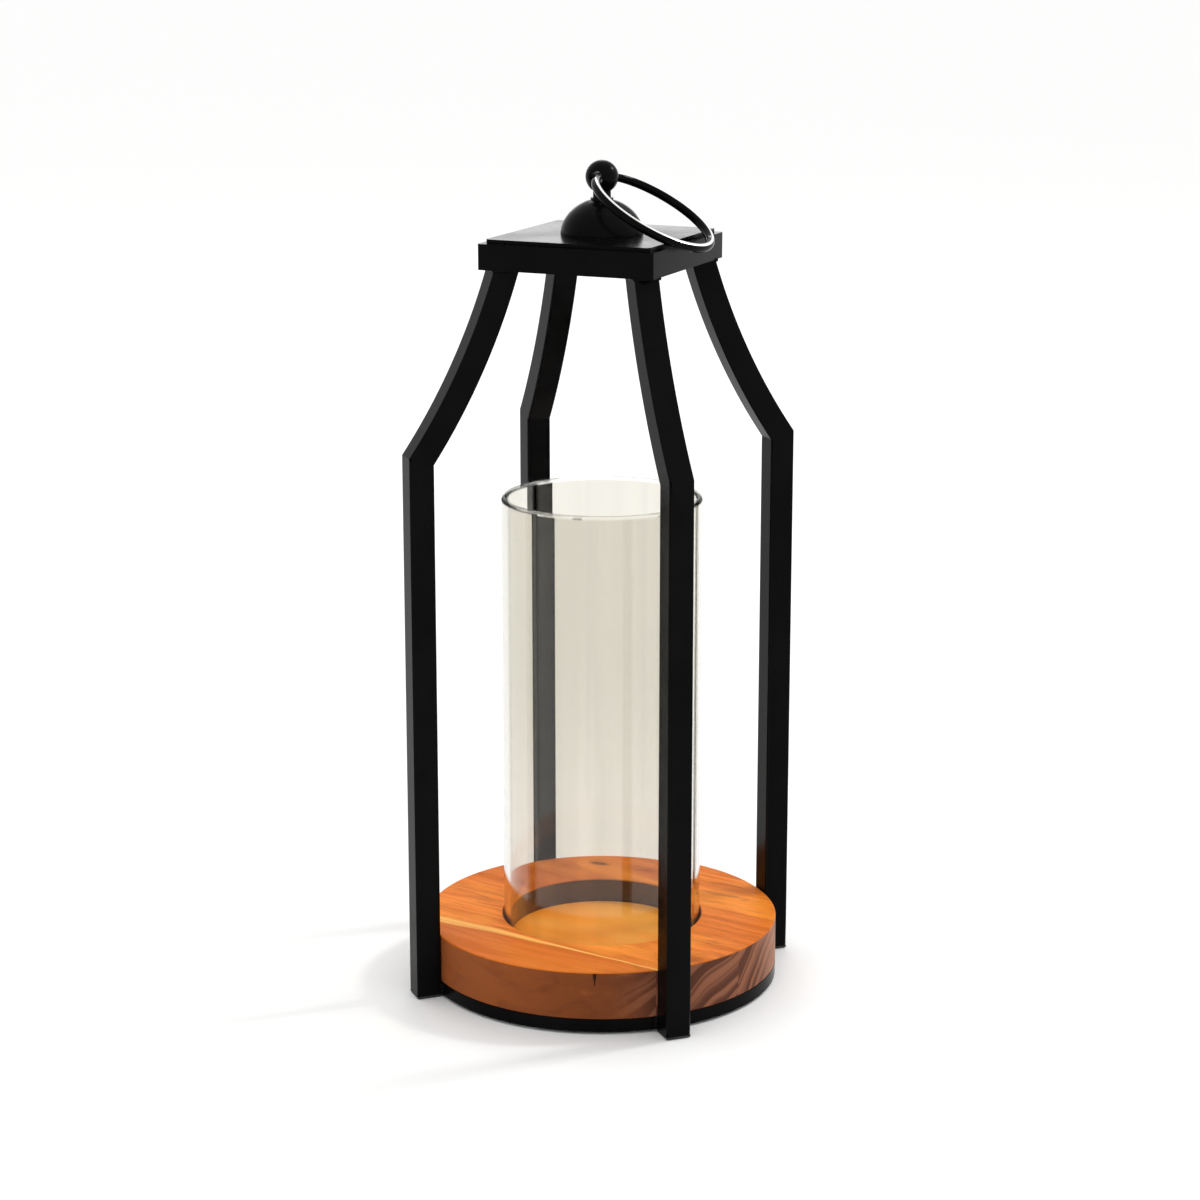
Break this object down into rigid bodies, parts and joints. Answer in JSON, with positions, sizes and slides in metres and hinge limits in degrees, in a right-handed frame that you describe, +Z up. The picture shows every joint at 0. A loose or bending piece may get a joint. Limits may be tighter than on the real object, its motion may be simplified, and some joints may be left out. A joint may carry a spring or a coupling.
{
  "type": "candle lantern",
  "caption": "Candle lantern: square cap with dome, finial and swinging ring handle on bowed legs, round wooden base with a recessed open glass chimney.",
  "frame": {"origin": "on the floor, at the lantern's vertical axis, midway between the feet", "axes": "+Z up along the lantern's axis; the cap's sides face X and Y, the legs stand on the diagonals, -Y is the front and the ring handle leans towards +X at rest"},
  "size_m": [0.18, 0.18, 0.4197],
  "materials": {
    "black_iron": "satin black powder coat",
    "black_wire": "semi-gloss black paint",
    "foot_plastic": "matte black",
    "zinc_steel": "zinc plated",
    "oiled_wood": "warm orange-brown, oiled satin",
    "clear_glass": "clear, polished"
  },
  "bodies": {
    "frame": {"post_front_left": "black_iron", "post_front_right": "black_iron", "post_rear_right": "black_iron", "post_rear_left": "black_iron", "arm_front_left": "black_iron", "arm_front_right": "black_iron", "arm_rear_right": "black_iron", "arm_rear_left": "black_iron", "foot_plug_front_left": "foot_plastic", "foot_plug_front_right": "foot_plastic", "foot_plug_rear_right": "foot_plastic", "foot_plug_rear_left": "foot_plastic", "cap_rail_front": "black_iron", "cap_rail_right": "black_iron", "cap_rail_rear": "black_iron", "cap_rail_left": "black_iron", "top_plate": "black_iron", "dome": "black_iron", "finial": "black_iron", "finial_washer": "zinc_steel", "finial_nut": "zinc_steel", "base_ring": "black_iron", "base_screws": "zinc_steel", "wood_base": "oiled_wood"},
    "handle": {"ring_handle": "black_wire"},
    "glass": {"glass_chimney": "clear_glass"}
  },
  "joints": [
    {"name": "ring_swing", "type": "hinge", "parent": "frame", "child": "handle", "pos_m": [0, 0, 0.4116], "axis": [0, -1, 0], "range_deg": [0, 240.8]},
    {"name": "glass_lift", "type": "slide", "parent": "frame", "child": "glass", "axis": [0, 0, 1], "range_m": [0, 0.095]}
  ]
}
